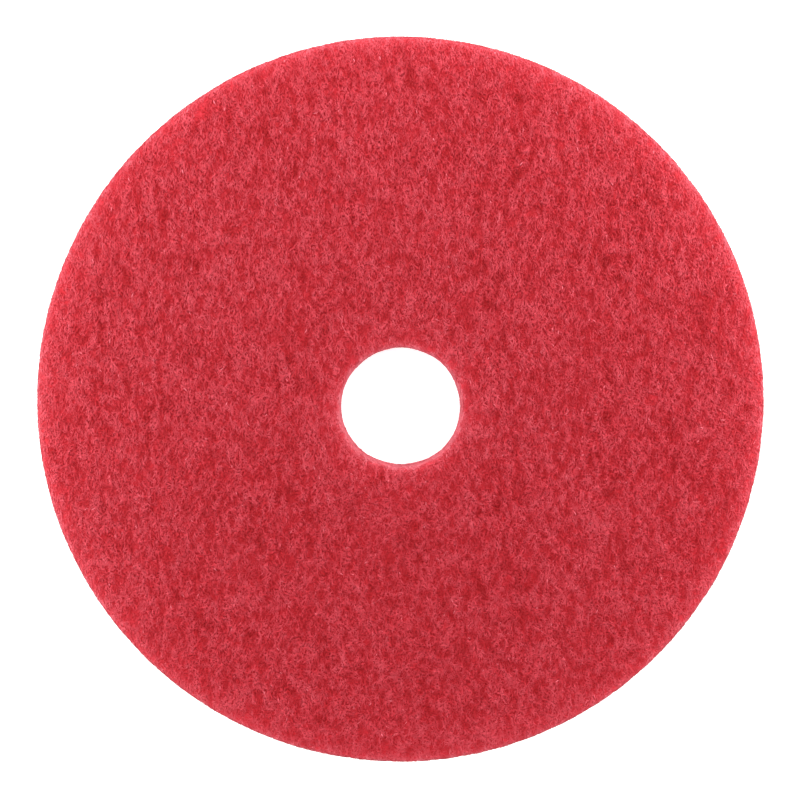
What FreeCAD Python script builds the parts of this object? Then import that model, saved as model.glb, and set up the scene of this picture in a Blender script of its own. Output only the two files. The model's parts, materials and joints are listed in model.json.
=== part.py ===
"""A round nonwoven floor pad with a centre hole, in millimetres.

The pad lies flat with its floor face on Z = 0, and its centre hole runs along +Z through the origin.
It is one disc, die-cut from one bonded fibre web. Nothing is fastened to it, so it is one node.
"""

import FreeCAD, Part
import math
import os

# Driving dimensions
PAD_DIAMETER = 508.0  # the nominal 20 inch size
PAD_THICKNESS = 25.4  # the nominal 1 inch loft
HOLE_DIAMETER = 82.55  # 3 1/4 inch, for a pad driver's centre retainer
RIM_EDGE_RADIUS = 4.0  # how far the die rounds the web over at the rim
HOLE_EDGE_RADIUS = 3.0  # the same at the hole, which the smaller die holds tighter


def section_point(radius, height):
    """A point of the pad's section, which lies in the XZ plane."""
    return FreeCAD.Vector(radius, 0, height)


def straight(start, end):
    return Part.LineSegment(section_point(*start), section_point(*end)).toShape()


def rounded(centre, edge_radius, from_degrees):
    """A quarter of a circle about centre, from an angle measured from +X towards +Z."""
    radius, height = centre
    on_arc = []
    for degrees in (from_degrees, from_degrees + 45, from_degrees + 90):
        turn = math.radians(degrees)
        on_arc.append(
            section_point(
                radius + edge_radius * math.cos(turn),
                height + edge_radius * math.sin(turn),
            )
        )
    return Part.Arc(*on_arc).toShape()


def pad_section(rim_radius, hole_radius, thickness, rim_edge, hole_edge):
    """The pad's section on the +X side: a rectangle whose four corners are rounded."""
    rim_in = rim_radius - rim_edge  # where each flat face ends at the rim
    hole_out = hole_radius + hole_edge  # and at the hole
    rim_top = thickness - rim_edge
    hole_top = thickness - hole_edge
    return Part.Wire(
        [
            straight((hole_out, 0), (rim_in, 0)),
            rounded((rim_in, rim_edge), rim_edge, 270),
            straight((rim_radius, rim_edge), (rim_radius, rim_top)),
            rounded((rim_in, rim_top), rim_edge, 0),
            straight((rim_in, thickness), (hole_out, thickness)),
            rounded((hole_out, hole_top), hole_edge, 90),
            straight((hole_radius, hole_top), (hole_radius, hole_edge)),
            rounded((hole_out, hole_edge), hole_edge, 180),
        ]
    )


def floor_pad():
    """The whole pad: its section turned once round the Z axis."""
    section = pad_section(
        PAD_DIAMETER / 2,
        HOLE_DIAMETER / 2,
        PAD_THICKNESS,
        RIM_EDGE_RADIUS,
        HOLE_EDGE_RADIUS,
    )
    origin = FreeCAD.Vector(0, 0, 0)
    upward = FreeCAD.Vector(0, 0, 1)
    return Part.Face(section).revolve(origin, upward, 360)


def main():
    os.makedirs("parts", exist_ok=True)
    nodes = {"floor_pad": floor_pad()}
    for name, shape in nodes.items():
        shape.exportStep(f"parts/{name}.step")
        print(f"{name}: valid {shape.isValid()}, {shape.Volume / 1000:.1f} cm3")


main()
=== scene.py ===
"""The looks of a round red nonwoven floor pad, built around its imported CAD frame.

The pad is a lofty web of crimped fibres, bonded together and cut to a disc with a hole. Its body
is one closed, lumpy surface. The fibres that show are modelled strands: thin tubes that wander
over the body, dip into it and come out again. Lengths are in metres.

The shades, noises and small offsets were set by trial. The comments say what each one does.
"""

import itertools
import json
import math

import bpy
import numpy as np
from mathutils import Matrix, Vector


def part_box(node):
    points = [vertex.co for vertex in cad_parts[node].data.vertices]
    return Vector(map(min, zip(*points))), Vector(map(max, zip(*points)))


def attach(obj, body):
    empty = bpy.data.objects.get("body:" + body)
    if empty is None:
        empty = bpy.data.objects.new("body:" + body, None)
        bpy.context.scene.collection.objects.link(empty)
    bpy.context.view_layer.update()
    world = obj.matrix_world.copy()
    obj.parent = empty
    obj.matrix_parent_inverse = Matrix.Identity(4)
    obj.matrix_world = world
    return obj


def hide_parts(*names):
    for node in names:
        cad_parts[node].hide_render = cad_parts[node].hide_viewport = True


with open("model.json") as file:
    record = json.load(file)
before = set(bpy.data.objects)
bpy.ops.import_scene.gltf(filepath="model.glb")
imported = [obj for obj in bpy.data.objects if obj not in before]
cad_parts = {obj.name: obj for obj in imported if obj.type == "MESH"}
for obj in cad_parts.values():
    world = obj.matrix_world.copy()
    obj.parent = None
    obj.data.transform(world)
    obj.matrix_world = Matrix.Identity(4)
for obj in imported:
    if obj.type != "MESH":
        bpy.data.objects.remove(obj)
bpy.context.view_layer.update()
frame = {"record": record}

# ---------------------------------------------------------------- sizes from the CAD frame

PAD_LOW, PAD_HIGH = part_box("floor_pad")
THICKNESS = PAD_HIGH.z - PAD_LOW.z
RIM_RADIUS = PAD_HIGH.x
HOLE_RADIUS = next(
    mount["dims"]["r_mm"] / 1000
    for mount in frame["record"]["mounts"]
    if mount["name"] == "centre_hole"
)
MIDDLE_RADIUS = (RIM_RADIUS + HOLE_RADIUS) / 2
RIM_EDGE = 0.004  # how far the cut edge is rounded over at the rim
HOLE_EDGE = 0.003  # and at the hole
TINY = 1e-9  # stands in for a length that could be zero where it is divided by

# ---------------------------------------------------------------- camera, light and floor

CAMERA_DISTANCE = 0.65
CAMERA_TILT = math.radians(4.0)  # from straight above, towards +Y
CAMERA_ASIDE = -0.0019  # how far along X the camera stands
CAMERA_AIM = (-0.00046, 0.0056)  # where on the pad's top it points
CAMERA_LENS = 42.25  # millimetres
CAMERA_SENSOR = 36  # millimetres

SOFTBOX_SIZE = 0.7
SOFTBOXES = (  # (name, place, power in watts)
    ("softbox_top", (0.10, 0.80, 0.22), 5.0),
    ("softbox_left", (-0.76, 0.08, 0.26), 7.2),
    ("softbox_right", (0.72, 0.32, 0.26), 7.6),
)
WHITE = (1, 1, 1, 1)
WORLD_STRENGTH = 0.95

FLOOR_HALF = 20
FLOOR_COLOUR = (0.9, 0.9, 0.9, 1)
FLOOR_ROUGHNESS = 0.8
FLOOR_GLOW = 0.6
FLOOR_DROP = 0.0002  # how far the floor lies under the pad, so that the two don't flicker

# ---------------------------------------------------------------- the web's shape

# How far things lie under the plain skin of a face. Round a cut they lie WALL_LOOSENESS as deep.
STRANDS_UNDER = 0.0005  # so that the fibres' crests reach the CAD faces
BODY_UNDER = 0.0016
WALL_LOOSENESS = 0.35
WEB_RISE = 0.0008  # how much a thick place stands proud, for each unit of the web's thickness

# The faces sink towards the cuts: (height lost on each face, width over which it fades)
RIM_PINCH = ((0.0014, 0.0045), (0.0018, 0.014))
HOLE_PINCH = ((0.0010, 0.0035), (0.0010, 0.009))
# The body lies nearer the strands there: (how much, width over which it fades)
RIM_CLOSER = ((0.0008, 0.010),)
HOLE_CLOSER = ((0.0008, 0.008),)
# The hole's wall stands back from the plain bore: somewhat oval, and uneven
HOLE_SET_BACK = 0.0005
HOLE_OVAL = 0.0004  # further back along X than along Y
HOLE_SET_BACK_WIDTH = 0.006  # over which it fades

# Noises, each as (strength, cell, seed)
HOLE_WOBBLE = (0.0007, 0.016, 9)
RELIEF = ((0.00035, 0.014, 1), (0.00025, 0.0055, 2))
PITS = ((0.12, 0.0015, 3), (0.46, 0.0024, 4), (0.33, 0.0045, 5))
SHADES = ((0.03, 0.0095, 6), (0.04, 0.07, 10))
# painted hollows: spots of painted shade, with no hollow in the shape
PAINTED_HOLLOWS = ((0.27, 0.0065, 11), (0.34, 0.0034, 12))
LATTICE_SIDE = 64  # a noise repeats after this many cells
PLATEAU = 0.4  # a thick place's height over that of the noise: the web is level, with pits in it
PAINTED_HOLLOW_LEVEL = -0.10  # the painted hollows' shade goes where their noise is below this level; the shape has no hollow there
GRAIN_STRETCH = 1.55  # the web's lumps are this much longer along Y, the way its grain runs

# ---------------------------------------------------------------- the web's colours

# Tint is how pale the web is: 0 is deep red, 1 is pink. The painted light and shade is 1 where the
# web is plain.
# the body is painted a deeper red than the strands, as painted shade of the deep web between them
BODY_TINT_WITH_PAINTED_SHADE = 0.31
STRAND_TINT = 0.485
DEPTH_PAINTED_SHADE = 0.12  # painted shade: how much deeper red the deepest strands are than the highest
OWN_TINT_SPREAD = 0.02  # and how much each strand differs from its neighbours
PAINTED_GLINT_SHARE = 0.004  # of the strands get a painted glint,
PAINTED_GLINT_PALER = 0.40  # being painted this much pinker
# The cut edges get a painted glow, a pinker tint: (tint added, width over which it fades)
RIM_PAINTED_GLOW = ((0.38, 0.0040), (0.08, 0.014))
HOLE_PAINTED_GLOW = ((0.40, 0.0022), (0.19, 0.008))
# and painted light: (share of light painted on, width over which it fades)
RIM_PAINTED_LIGHT = ((0.12, 0.008), (0.12, 0.050))
HOLE_PAINTED_LIGHT = ((0.09, 0.012),)
# The upright walls get painted shade, darker by these shares, and the rim's wall a painted deeper
# red
RIM_WALL_PAINTED_SHADE = 0.50
HOLE_WALL_PAINTED_SHADE = 0.15
RIM_WALL_PAINTED_RED_SHADE = 0.28
# Near the cuts the tone varies less and less shade is painted: (share smoothed away, width over
# which it fades)
RIM_SMOOTHER = ((0.6, 0.010),)
HOLE_SMOOTHER = ((0.6, 0.006),)
PAINTED_HOLLOW_DEEPER = 0.9  # painted shade: how much deeper red a painted hollow spot is, for each unit below its level
PAINTED_HOLLOW_SHADE = 0.32  # and how much darker it is painted

RED_STOPS = (  # (tint, colour)
    (0.0, (0.430, 0.0055, 0.0112)),
    (0.3, (0.492, 0.0147, 0.0252)),
    (0.55, (0.551, 0.0305, 0.0470)),
    (0.8, (0.617, 0.0615, 0.0860)),
    (1.0, (0.740, 0.1500, 0.1900)),
)
SPECULAR = 0.25
BODY_ROUGHNESS = 0.75
BODY_MOTTLE = 0.15  # the most that the fine noise adds to the tint or takes from it
STRAND_ROUGHNESS = 0.55
STRAND_MOTTLE = 0.06
MOTTLE_SCALE = 700.0
MOTTLE_DETAIL = 3.0
MOTTLE_RANGE = (0.3, 0.7)  # the noise's values that give the least and the most

# ---------------------------------------------------------------- the body's grid

AROUND_STEPS = 456
FACE_STEPS = 88
WALL_STEPS = 9
EDGE_STEPS = 5

# ---------------------------------------------------------------- the strands

# The two kinds of strand. depth is the (lowest, commonest, highest) about the strands' level.
# curl spreads a strand's steady bend, in radians a metre, and crimp the sudden one at each of its
# points, in radians. wave is how far it rises and falls, and plunge how far its ends dip.
TUFTS = {
    "points": 4,
    "length": (0.0022, 0.0050),
    "curl": 100.0,
    "crimp": 0.25,
    "depth": (-0.0007, -0.0001, 0.0002),
    "wave": (0.0000, 0.0002),
    "plunge": 0.0005,
    "thickness": (0.00045, 0.00080),
}
WISPS = {
    "points": 6,
    "length": (0.004, 0.009),
    "curl": 90.0,
    "crimp": 0.28,
    "depth": (-0.0006, 0.0000, 0.0003),
    "wave": (0.0000, 0.0003),
    "plunge": 0.0008,
    "thickness": (0.00028, 0.00042),
}
WAVE_TURNS = (0.6, 1.4)  # how many waves a strand makes
PLUNGE_POWER = 4  # the higher, the nearer its tips a strand starts to plunge
TUBE_SIDES = 3  # a strand is so thin that a three-sided tube looks round
TUBE_FLATNESS = 0.38  # a strand's height over its width
STRIP_LENGTH = 5  # a strand's strip of the map is about this many times as long as it is wide
STRIP_GAP = (0.06, 0.12)  # the shares of a strip left empty at each end and at each side

STRAND_SEED = 7
FACE_STRANDS = (  # (name, height, kind, pieces, strands in each)
    ("top_tufts", THICKNESS, TUFTS, 13, 16500),
    ("top_wisps", THICKNESS, WISPS, 1, 8000),
    ("bottom_tufts", 0, TUFTS, 6, 16500),
    ("bottom_wisps", 0, WISPS, 1, 8000),
)
WALL_STRANDS = (  # (name, radius, kind, strands)
    ("rim_tufts", RIM_RADIUS, TUFTS, 16000),
    ("rim_wisps", RIM_RADIUS, WISPS, 1500),
    ("hole_tufts", HOLE_RADIUS, TUFTS, 2800),
    ("hole_wisps", HOLE_RADIUS, WISPS, 250),
)
TRIES_PER_START = 2
START_SHARE = 0.75  # of the tries on a face become strands where the web is plain,
START_SHARE_GAIN = 0.9  # and this much more for each unit of its thickness
GRAIN_AT_MIDDLE = 0.5  # how strictly strands follow the grain at the hole, from 0 to 1,
GRAIN_GAIN = 1.2  # and how much more strictly one rim radius further along Y
LOOSEST_SPREAD = 0.75  # radians that their headings spread about the grain where it is 0,
STRICTER_BY = 0.35  # and how many fewer where it is 1
CLIMB_SPREAD = 0.45  # radians that headings spread from level on the walls
STEEPEST_CLIMB = 1.3


# ---------------------------------------------------------------- camera and light


def look_from(eye, target, upward):
    """The rotation of a camera or lamp at eye that points at target, with upward up."""
    back = (Vector(eye) - Vector(target)).normalized()
    right = Vector(upward).cross(back).normalized()
    up = back.cross(right)
    rotation = [(right[i], up[i], back[i]) for i in range(3)]
    return Matrix(rotation).to_euler()


def add_camera():
    """Straight above the pad, tilted a little, so that the +Y side is nearer."""
    along = CAMERA_DISTANCE * math.sin(CAMERA_TILT)
    above = CAMERA_DISTANCE * math.cos(CAMERA_TILT)
    eye = (CAMERA_ASIDE, along, THICKNESS + above)
    data = bpy.data.cameras.new("camera")
    data.lens = CAMERA_LENS
    data.sensor_width = CAMERA_SENSOR
    camera = bpy.data.objects.new("camera", data)
    camera.location = eye
    camera.rotation_euler = look_from(eye, (*CAMERA_AIM, THICKNESS), (0, 1, 0))
    bpy.context.scene.collection.objects.link(camera)
    bpy.context.scene.camera = camera


def add_softbox(name, eye, power):
    """A square area lamp that points at the pad."""
    data = bpy.data.lights.new(name, "AREA")
    data.shape = "SQUARE"
    data.size = SOFTBOX_SIZE
    data.energy = power
    lamp = bpy.data.objects.new(name, data)
    lamp.visible_camera = False
    lamp.location = eye
    lamp.rotation_euler = look_from(eye, (0, 0, THICKNESS), (0, 0, 1))
    bpy.context.scene.collection.objects.link(lamp)


def add_world():
    """A white dome that lights everything evenly."""
    world = bpy.data.worlds.new("studio")
    bpy.context.scene.world = world
    world.use_nodes = True
    background = world.node_tree.nodes["Background"]
    background.inputs["Color"].default_value = WHITE
    background.inputs["Strength"].default_value = WORLD_STRENGTH


def floor_material():
    """Plain, pale and glowing a little, like a light table."""
    material = bpy.data.materials.new("floor")
    material.use_nodes = True
    shader = material.node_tree.nodes["Principled BSDF"]
    shader.inputs["Base Color"].default_value = FLOOR_COLOUR
    shader.inputs["Roughness"].default_value = FLOOR_ROUGHNESS
    shader.inputs["Emission Color"].default_value = WHITE
    shader.inputs["Emission Strength"].default_value = FLOOR_GLOW
    return material


def add_floor():
    """The plain pale floor."""
    half = FLOOR_HALF
    mesh = bpy.data.meshes.new("floor")
    corners = [(-half, -half, 0), (half, -half, 0), (half, half, 0), (-half, half, 0)]
    mesh.from_pydata(corners, [], [(0, 1, 2, 3)])
    mesh.materials.append(floor_material())
    floor = bpy.data.objects.new("floor", mesh)
    floor.location.z = -FLOOR_DROP
    bpy.context.scene.collection.objects.link(floor)


# ---------------------------------------------------------------- noises and fadings


def lattice_noise(points, cell, seed):
    """Smooth noise from -1 to 1, with lumps about one cell across."""
    table = np.random.default_rng(seed).uniform(-1, 1, (LATTICE_SIDE,) * 3)
    low = np.floor(points / cell).astype(int)
    part = points / cell - low
    part = part * part * (3 - 2 * part)
    total = np.zeros(points.shape[:-1])
    for corner in itertools.product((0, 1), repeat=3):
        weight = np.where(corner, part, 1 - part).prod(-1)
        i, j, k = np.moveaxis((low + corner) % LATTICE_SIDE, -1, 0)
        total += weight * table[i, j, k]
    return total


def layered_noise(points, layers):
    """The sum of noises, each given as (strength, cell, seed)."""
    return sum(strength * lattice_noise(points, cell, seed) for strength, cell, seed in layers)


def along_grain(points):
    """The points with Y squeezed, so that a noise sampled there is stretched along the grain."""
    return points / (1, GRAIN_STRETCH, 1)


def fading_from_cuts(points, rim_parts, hole_parts):
    """The sum of parts that are largest at the rim's or the hole's cut and fade from it."""
    radius = np.hypot(points[..., 0], points[..., 1])
    from_rim = (RIM_RADIUS - radius).clip(0)
    from_hole = (radius - HOLE_RADIUS).clip(0)
    total = sum(most * np.exp(-from_rim / width) for most, width in rim_parts)
    return total + sum(most * np.exp(-from_hole / width) for most, width in hole_parts)


def on_walls(points, normals, at_rim, at_hole):
    """The rim's or the hole's value on their upright walls, fading to 0 on the flat faces."""
    nearer_rim = np.hypot(points[..., 0], points[..., 1]) > MIDDLE_RADIUS
    return np.where(nearer_rim, at_rim, at_hole) * (1 - np.abs(normals[..., 2]))


# ---------------------------------------------------------------- the web's shape and shades


def on_skin(points):
    """The nearest points of the pad's plain shape, and its outward normals there."""
    radius = np.hypot(points[..., 0], points[..., 1])
    outward = points[..., :2] / radius[..., None]
    edge = np.where(radius > MIDDLE_RADIUS, RIM_EDGE, HOLE_EDGE)
    core_radius = radius.clip(HOLE_RADIUS + HOLE_EDGE, RIM_RADIUS - RIM_EDGE)
    core_height = points[..., 2].clip(edge, THICKNESS - edge)
    across = radius - core_radius
    up = points[..., 2] - core_height
    length = np.maximum(np.hypot(across, up), TINY)
    normal = np.concatenate(
        [outward * (across / length)[..., None], (up / length)[..., None]], -1
    )
    core = np.concatenate([outward * core_radius[..., None], core_height[..., None]], -1)
    return core + normal * edge[..., None], normal


def web(points):
    """How thick the web is from place to place: below zero it is a pit."""
    thickness = layered_noise(along_grain(points), PITS)
    return np.where(thickness > 0, PLATEAU * thickness, thickness)


def painted_hollow_depth(points):
    """How deep the web's sparse painted hollow spots are from place to place: 0 where there is
    none. Only their shade is painted; the shape has no hollow.
    """
    noise = layered_noise(along_grain(points), PAINTED_HOLLOWS)
    return (PAINTED_HOLLOW_LEVEL - noise).clip(0)


def lifted(points, normals, height):
    """The skin's points, moved out by height and by the lofty web's relief."""
    looseness = WALL_LOOSENESS + (1 - WALL_LOOSENESS) * np.abs(normals[..., 2])
    lift = looseness * (layered_noise(points, RELIEF) + height)
    return points + normals * lift[..., None]


def hole_set_back(points, radius):
    """How far the points move outwards from the hole's axis: most at its wall, less beyond."""
    angle = np.arctan2(points[..., 1], points[..., 0])
    back = HOLE_SET_BACK + HOLE_OVAL * np.cos(2 * angle)
    back += layered_noise(points, (HOLE_WOBBLE,))
    return back * np.exp(-(radius - HOLE_RADIUS).clip(0) / HOLE_SET_BACK_WIDTH)


def pinched(points):
    """The points with the faces drawn in towards the cuts and the hole's wall set back, and with
    none of them below the plane that the pad lies on."""
    lost = fading_from_cuts(points, RIM_PINCH, HOLE_PINCH)
    middle = THICKNESS / 2
    radius = np.hypot(points[..., 0], points[..., 1])
    moved = points.copy()
    moved[..., :2] *= (1 + hole_set_back(points, radius) / radius)[..., None]
    moved[..., 2] = middle + (points[..., 2] - middle) * (1 - lost / middle)
    moved[..., 2] = moved[..., 2].clip(0, None)
    return moved


def web_tint_and_painted_light(points, normals, thickness):
    """How pale the web's tint is from place to place, given its thickness there: random patches of
    tone, with painted shade, a deeper red where the web is thin, in its painted hollow spots and on
    the rim's wall, and a painted glow at the cut edges.
    """
    # random patches of tone, and painted shade: a deeper red where the web is thin, in its pits
    blotches_and_painted_shade = thickness + layered_noise(along_grain(points), SHADES)
    # painted shade: a deeper red in the painted hollow spots
    blotches_and_painted_shade -= PAINTED_HOLLOW_DEEPER * painted_hollow_depth(points)
    smoother = fading_from_cuts(points, RIM_SMOOTHER, HOLE_SMOOTHER)
    # painted glow: a pinker tint towards the cut edges
    painted_glow = fading_from_cuts(points, RIM_PAINTED_GLOW, HOLE_PAINTED_GLOW)
    # painted shade: the rim's wall a deeper red
    return blotches_and_painted_shade * (1 - smoother) + painted_glow - on_walls(points, normals, RIM_WALL_PAINTED_RED_SHADE, 0)


def web_painted_light_and_shade(points, normals):
    """The painted light and shade from place to place, a factor on the web's colour: 1 is plain. It
    is painted light at the cut edges and painted shade in the painted hollow spots and on the
    walls.
    """
    # painted light, more towards the cut edges
    painted_light = fading_from_cuts(points, RIM_PAINTED_LIGHT, HOLE_PAINTED_LIGHT)
    # painted shade: darker in the painted hollow spots
    hollow_shade = PAINTED_HOLLOW_SHADE * painted_hollow_depth(points)
    hollow_shade *= 1 - fading_from_cuts(points, RIM_SMOOTHER, HOLE_SMOOTHER)
    # painted shade: darker on the upright walls
    walls = on_walls(points, normals, RIM_WALL_PAINTED_SHADE, HOLE_WALL_PAINTED_SHADE)
    return 1 + painted_light - hollow_shade - walls


# ---------------------------------------------------------------- pieces


def add_piece(name, points, corners, starts, uv, material):
    """A smooth piece of web from flat arrays: each face's corners follow its start."""
    mesh = bpy.data.meshes.new(name)
    mesh.vertices.add(len(points))
    mesh.vertices.foreach_set("co", points.astype(np.float32).ravel())
    mesh.loops.add(len(corners))
    mesh.loops.foreach_set("vertex_index", corners.astype(np.int32))
    mesh.polygons.add(len(starts))
    mesh.polygons.foreach_set("loop_start", starts.astype(np.int32))
    mesh.update(calc_edges=True)
    mesh.shade_smooth()
    mesh.uv_layers.new(name="OFBake").uv.foreach_set("vector", uv.astype(np.float32).ravel())
    mesh.materials.append(material)
    piece = bpy.data.objects.new(name, mesh)
    bpy.context.scene.collection.objects.link(piece)
    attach(piece, "root")
    return piece


def set_attribute(piece, name, values):
    """Gives each vertex its own number."""
    layer = piece.data.attributes.new(name, "FLOAT", "POINT")
    layer.data.foreach_set("value", values.astype(np.float32).ravel())


# ---------------------------------------------------------------- the body


def body_profile():
    """The closed section of the plain shape, as (radius, height) rows."""
    rim_in, hole_out = RIM_RADIUS - RIM_EDGE, HOLE_RADIUS + HOLE_EDGE
    rim_top, hole_top = THICKNESS - RIM_EDGE, THICKNESS - HOLE_EDGE

    def run(start, end, steps):
        return np.linspace(start, end, steps, endpoint=False)

    def turn(centre, edge, from_degrees):
        angle = np.radians(np.linspace(from_degrees, from_degrees + 90, EDGE_STEPS, endpoint=False))
        return np.array(centre) + edge * np.stack([np.cos(angle), np.sin(angle)], 1)

    return np.concatenate(
        [
            run((hole_out, 0), (rim_in, 0), FACE_STEPS),
            turn((rim_in, RIM_EDGE), RIM_EDGE, 270),
            run((RIM_RADIUS, RIM_EDGE), (RIM_RADIUS, rim_top), WALL_STEPS),
            turn((rim_in, rim_top), RIM_EDGE, 0),
            run((rim_in, THICKNESS), (hole_out, THICKNESS), FACE_STEPS),
            turn((hole_out, hole_top), HOLE_EDGE, 90),
            run((HOLE_RADIUS, hole_top), (HOLE_RADIUS, HOLE_EDGE), WALL_STEPS),
            turn((hole_out, HOLE_EDGE), HOLE_EDGE, 180),
        ]
    )


def body_grid():
    """The plain shape's points, as (step around the axis, step along the section, xyz)."""
    radius, height = body_profile().T
    angle = np.linspace(0, 2 * math.pi, AROUND_STEPS, endpoint=False)
    x = np.outer(np.cos(angle), radius)
    y = np.outer(np.sin(angle), radius)
    return np.stack([x, y, np.broadcast_to(height, x.shape)], -1)


def body_faces(count):
    """The corners of the body's four-sided faces, with count of them along the section, and
    their uv corners."""
    i, j = np.meshgrid(np.arange(AROUND_STEPS), np.arange(count), indexing="ij")
    next_i, next_j = (i + 1) % AROUND_STEPS, (j + 1) % count
    corners = np.stack(
        [i * count + j, next_i * count + j, next_i * count + next_j, i * count + next_j], -1
    )
    u = np.stack([i, i + 1, i + 1, i], -1) / AROUND_STEPS
    v = np.stack([j, j, j + 1, j + 1], -1) / count
    return corners, np.stack([u, v], -1)


def add_body(material):
    """The pad's one closed body, with its lumps and its pinched cuts."""
    skin, normals = on_skin(body_grid())
    closer = fading_from_cuts(skin, RIM_CLOSER, HOLE_CLOSER) * np.abs(normals[..., 2])
    points = pinched(lifted(skin, normals, closer - BODY_UNDER))
    count = points.shape[1]
    corners, uv = body_faces(count)
    starts = 4 * np.arange(AROUND_STEPS * count)
    piece = add_piece("pad_body", points.reshape(-1, 3), corners.ravel(), starts, uv, material)
    # the body's tint, with painted shade and a painted glow
    set_attribute(piece, "tint", BODY_TINT_WITH_PAINTED_SHADE + web_tint_and_painted_light(skin, normals, 0))
    # the body's painted light and shade
    set_attribute(piece, "painted_light_and_shade", web_painted_light_and_shade(skin, normals))
    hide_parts("floor_pad")


# ---------------------------------------------------------------- strands


def strand_faces(line_points):
    """One strand's faces: its corners' vertex numbers, each face's start, and its uv corners.

    Its vertices are the first tip, the rings in turn, and the last tip.
    """
    rings = line_points - 2
    last_tip = 1 + rings * TUBE_SIDES
    corners, starts, uv = [], [], []

    def add_face(*spots):
        starts.append(len(corners))
        for vertex, along, around in spots:
            corners.append(vertex)
            uv.append((along / (line_points - 1), around / TUBE_SIDES))

    def ring_spot(ring, side):
        return 1 + ring * TUBE_SIDES + side % TUBE_SIDES, ring + 1, side

    for side in range(TUBE_SIDES):
        add_face((0, 0, side + 0.5), ring_spot(0, side + 1), ring_spot(0, side))
        for ring in range(rings - 1):
            add_face(
                ring_spot(ring, side),
                ring_spot(ring, side + 1),
                ring_spot(ring + 1, side + 1),
                ring_spot(ring + 1, side),
            )
        add_face(
            ring_spot(rings - 1, side),
            ring_spot(rings - 1, side + 1),
            (last_tip, line_points - 1, side + 0.5),
        )
    return np.array(corners), np.array(starts), np.array(uv)


def strip_uv(count, uv):
    """A narrow strip of the map for each strand."""
    columns = max(1, round(math.sqrt(count / STRIP_LENGTH)))
    rows = math.ceil(count / columns)
    number = np.arange(count)
    corner = np.stack([number % columns, number // columns], 1)[:, None]
    gap = np.array(STRIP_GAP)
    return (corner + gap + uv * (1 - 2 * gap)) / (columns, rows)


def turned(heading, normal, bend):
    """The headings, laid flat on the skin and turned about its normals by bend."""
    heading = heading - normal * (heading * normal).sum(-1)[:, None]
    heading = heading / np.linalg.norm(heading, axis=-1)[:, None]
    return heading * np.cos(bend) + np.cross(normal, heading) * np.sin(bend)


def strand_lines(starts, headings, rng, look):
    """Lines that wander over the skin from their starts, as (strand, point, xyz), with the
    skin's normals there and each strand's depth. look is the kind of strand."""
    count = len(starts)
    line_points = look["points"]
    length = rng.uniform(*look["length"], count)
    step = length / (line_points - 1)
    curl = rng.normal(0, look["curl"], count)
    crimp = rng.normal(0, look["crimp"], (count, line_points))
    depth = rng.triangular(*look["depth"], count)
    wave = rng.uniform(*look["wave"], count)
    phase = rng.uniform(0, 2 * math.pi, count)
    turns = rng.uniform(*WAVE_TURNS, count)
    points, normals = [], []
    spot, normal = on_skin(starts)
    heading = headings
    rise = WEB_RISE * web(starts)
    for number in range(line_points):
        heading = turned(heading, normal, (curl * step + crimp[:, number])[:, None])
        share = number / (line_points - 1)
        ends = (2 * share - 1) ** PLUNGE_POWER
        height = depth + wave * np.sin(2 * math.pi * turns * share + phase) - look["plunge"] * ends
        points.append(lifted(spot, normal, height + rise - STRANDS_UNDER))
        normals.append(normal)
        spot, normal = on_skin(spot + heading * step[:, None])
    return np.stack(points, 1), np.stack(normals, 1), depth


def strand_tubes(lines, normals, thickness, roll):
    """Each strand's vertices: its first tip, its rings and its last tip."""
    along = np.gradient(lines, axis=1)
    along /= np.maximum(np.linalg.norm(along, axis=-1), TINY)[..., None]
    side = np.cross(along, normals)
    side /= np.maximum(np.linalg.norm(side, axis=-1), TINY)[..., None]
    up = np.cross(side, along)
    reach = thickness[:, None, None] / 2
    rings = []
    for number in range(TUBE_SIDES):
        angle = (roll + 2 * math.pi * number / TUBE_SIDES)[:, None, None]
        rings.append(lines + reach * (np.cos(angle) * side + TUBE_FLATNESS * np.sin(angle) * up))
    rings = np.stack(rings, 2)[:, 1:-1].reshape(len(lines), -1, 3)
    return np.concatenate([lines[:, :1], rings, lines[:, -1:]], 1)


def per_vertex(values):
    """A strand's values at its line's points, repeated for the vertices of each ring."""
    rings = np.repeat(values[:, 1:-1], TUBE_SIDES, 1)
    return np.concatenate([values[:, :1], rings, values[:, -1:]], 1)


def own_tints_and_painted_light(depth, rng, look):
    """Each strand's own tint: deeper ones get painted shade, and a few get a painted glint."""
    low, _, high = look["depth"]
    raised = (depth - low) / (high - low)
    # painted shade: the deeper a strand lies, the deeper its red
    tints = STRAND_TINT + DEPTH_PAINTED_SHADE * raised + rng.normal(0, OWN_TINT_SPREAD, len(depth))
    # painted glints: a few strands painted much pinker
    tints += PAINTED_GLINT_PALER * (rng.uniform(0, 1, len(depth)) < PAINTED_GLINT_SHARE)
    return tints


def add_strands(name, starts, headings, rng, look, material):
    """One piece that holds a strand from each start."""
    lines, normals, depth = strand_lines(starts, headings, rng, look)
    count = len(starts)
    thickness = rng.uniform(*look["thickness"], count)
    roll = rng.uniform(0, 2 * math.pi, count)
    tubes = pinched(strand_tubes(lines, normals, thickness, roll))
    corners, corner_starts, uv = strand_faces(look["points"])
    number = np.arange(count)[:, None]
    piece = add_piece(
        name,
        tubes.reshape(-1, 3),
        (number * tubes.shape[1] + corners).ravel(),
        (number * len(corners) + corner_starts).ravel(),
        strip_uv(count, uv).reshape(-1, 2),
        material,
    )
    # each strand's tint, with painted shade, painted glints and a painted glow
    tint = own_tints_and_painted_light(depth, rng, look)[:, None] + web_tint_and_painted_light(lines, normals, web(lines))
    set_attribute(piece, "tint", per_vertex(tint))
    # the strands' painted light and shade
    set_attribute(piece, "painted_light_and_shade", per_vertex(web_painted_light_and_shade(lines, normals)))


# ---------------------------------------------------------------- where the strands start


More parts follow.
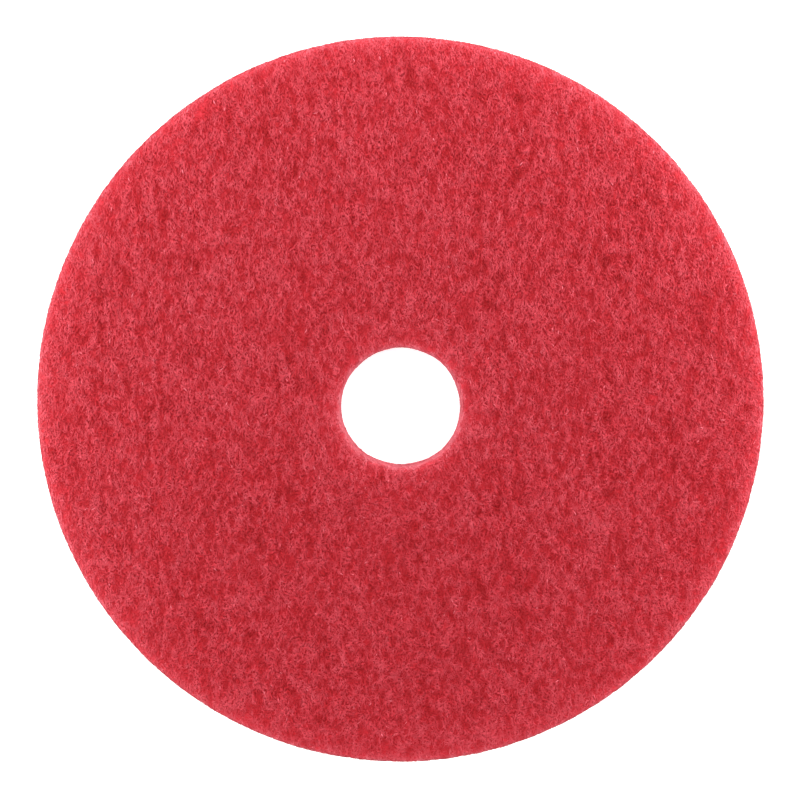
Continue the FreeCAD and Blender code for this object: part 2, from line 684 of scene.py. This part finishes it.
def face_starts(count, rng, height):
    """Starts spread over one flat face, fewer where the web is thin."""
    tries = TRIES_PER_START * count
    radius = np.sqrt(rng.uniform(HOLE_RADIUS**2, RIM_RADIUS**2, tries))
    angle = rng.uniform(0, 2 * math.pi, tries)
    starts = np.stack([radius * np.cos(angle), radius * np.sin(angle), np.full(tries, height)], 1)
    share = START_SHARE + START_SHARE_GAIN * web(starts)
    return starts[rng.uniform(0, 1, tries) < share][:count]


def wall_starts(count, rng, radius):
    """Starts spread evenly over the rim or the hole's wall."""
    angle = rng.uniform(0, 2 * math.pi, count)
    height = rng.uniform(0, THICKNESS, count)
    return np.stack([radius * np.cos(angle), radius * np.sin(angle), height], 1)


def face_headings(starts, rng):
    """Headings along the web's grain, more strictly so towards +Y."""
    count = len(starts)
    grain = np.clip(GRAIN_AT_MIDDLE + GRAIN_GAIN * starts[:, 1] / RIM_RADIUS, 0, 1)
    spread = LOOSEST_SPREAD - STRICTER_BY * grain
    angle = math.pi / 2 + rng.normal(0, 1, count) * spread
    angle += math.pi * rng.integers(0, 2, count)
    return np.stack([np.cos(angle), np.sin(angle), np.zeros(count)], 1)


def wall_headings(starts, rng):
    """Headings mostly round the wall, either way."""
    count = len(starts)
    around = np.stack([-starts[:, 1], starts[:, 0], np.zeros(count)], 1)
    around /= np.linalg.norm(around, axis=1)[:, None]
    around *= rng.choice([-1, 1], count)[:, None]
    climb = rng.normal(0, CLIMB_SPREAD, count)
    around[:, 2] = np.tan(climb.clip(-STEEPEST_CLIMB, STEEPEST_CLIMB))
    return around


def add_fibres(material):
    """All the strands, on both faces, the rim and the hole's wall."""
    rng = np.random.default_rng(STRAND_SEED)
    for name, height, look, pieces, count in FACE_STRANDS:
        for number in range(1, pieces + 1):
            starts = face_starts(count, rng, height)
            headings = face_headings(starts, rng)
            add_strands(f"{name}_{number}", starts, headings, rng, look, material)
    for name, radius, look, count in WALL_STRANDS:
        starts = wall_starts(count, rng, radius)
        headings = wall_headings(starts, rng)
        add_strands(name, starts, headings, rng, look, material)


# ---------------------------------------------------------------- materials


def add_node(tree, kind, **values):
    """A new shader node of this kind, with these values on its sockets."""
    node = tree.nodes.new("ShaderNode" + kind)
    for name, value in values.items():
        node.inputs[name.replace("_", " ")].default_value = value
    return node


def add_attribute(tree, name):
    """The number that the mesh holds under this name."""
    node = add_node(tree, "Attribute")
    node.attribute_name = name
    return node.outputs["Fac"]


def add_mottle(tree, mottle):
    """A fine procedural noise, from -mottle to mottle."""
    low, high = MOTTLE_RANGE
    place = add_node(tree, "TexCoord")
    noise = add_node(tree, "TexNoise", Scale=MOTTLE_SCALE, Detail=MOTTLE_DETAIL)
    spread = add_node(tree, "MapRange", From_Min=low, From_Max=high, To_Min=-mottle, To_Max=mottle)
    tree.links.new(place.outputs["Object"], noise.inputs["Vector"])
    tree.links.new(noise.outputs["Fac"], spread.inputs["Value"])
    return spread.outputs["Result"]


def add_ramp(tree, stops):
    """A colour ramp with these (position, colour) stops."""
    ramp = add_node(tree, "ValToRGB")
    elements = ramp.color_ramp.elements
    while len(elements) < len(stops):
        elements.new(0.5)
    for element, (position, colour) in zip(elements, stops):
        element.position = position
        element.color = (*colour, 1)
    return ramp


def web_material(name, roughness, mottle):
    """Red web: its tint, with a fine mottle added, runs from deep red to pink, and the painted
    light and shade then makes it lighter or darker.
    """
    material = bpy.data.materials.new(name)
    material.use_nodes = True
    tree = material.node_tree
    shader = tree.nodes["Principled BSDF"]
    shader.inputs["Roughness"].default_value = roughness
    shader.inputs["Specular IOR Level"].default_value = SPECULAR
    mottled = add_node(tree, "Math")
    mottled.operation = "ADD"
    ramp = add_ramp(tree, RED_STOPS)
    # the painted light and shade makes the colour lighter or darker
    paint_light_and_shade = add_node(tree, "HueSaturation")
    tree.links.new(add_mottle(tree, mottle), mottled.inputs[0])
    tree.links.new(add_attribute(tree, "tint"), mottled.inputs[1])
    tree.links.new(mottled.outputs["Value"], ramp.inputs["Fac"])
    tree.links.new(ramp.outputs["Color"], paint_light_and_shade.inputs["Color"])
    tree.links.new(add_attribute(tree, "painted_light_and_shade"), paint_light_and_shade.inputs["Value"])
    tree.links.new(paint_light_and_shade.outputs["Color"], shader.inputs["Base Color"])
    return material


# ---------------------------------------------------------------- the scene

add_camera()
add_world()
for lamp_name, lamp_place, lamp_power in SOFTBOXES:
    add_softbox(lamp_name, lamp_place, lamp_power)
add_floor()
add_body(web_material("web_body", BODY_ROUGHNESS, BODY_MOTTLE))
add_fibres(web_material("fibre", STRAND_ROUGHNESS, STRAND_MOTTLE))
bpy.context.scene.view_settings.view_transform = "Standard"
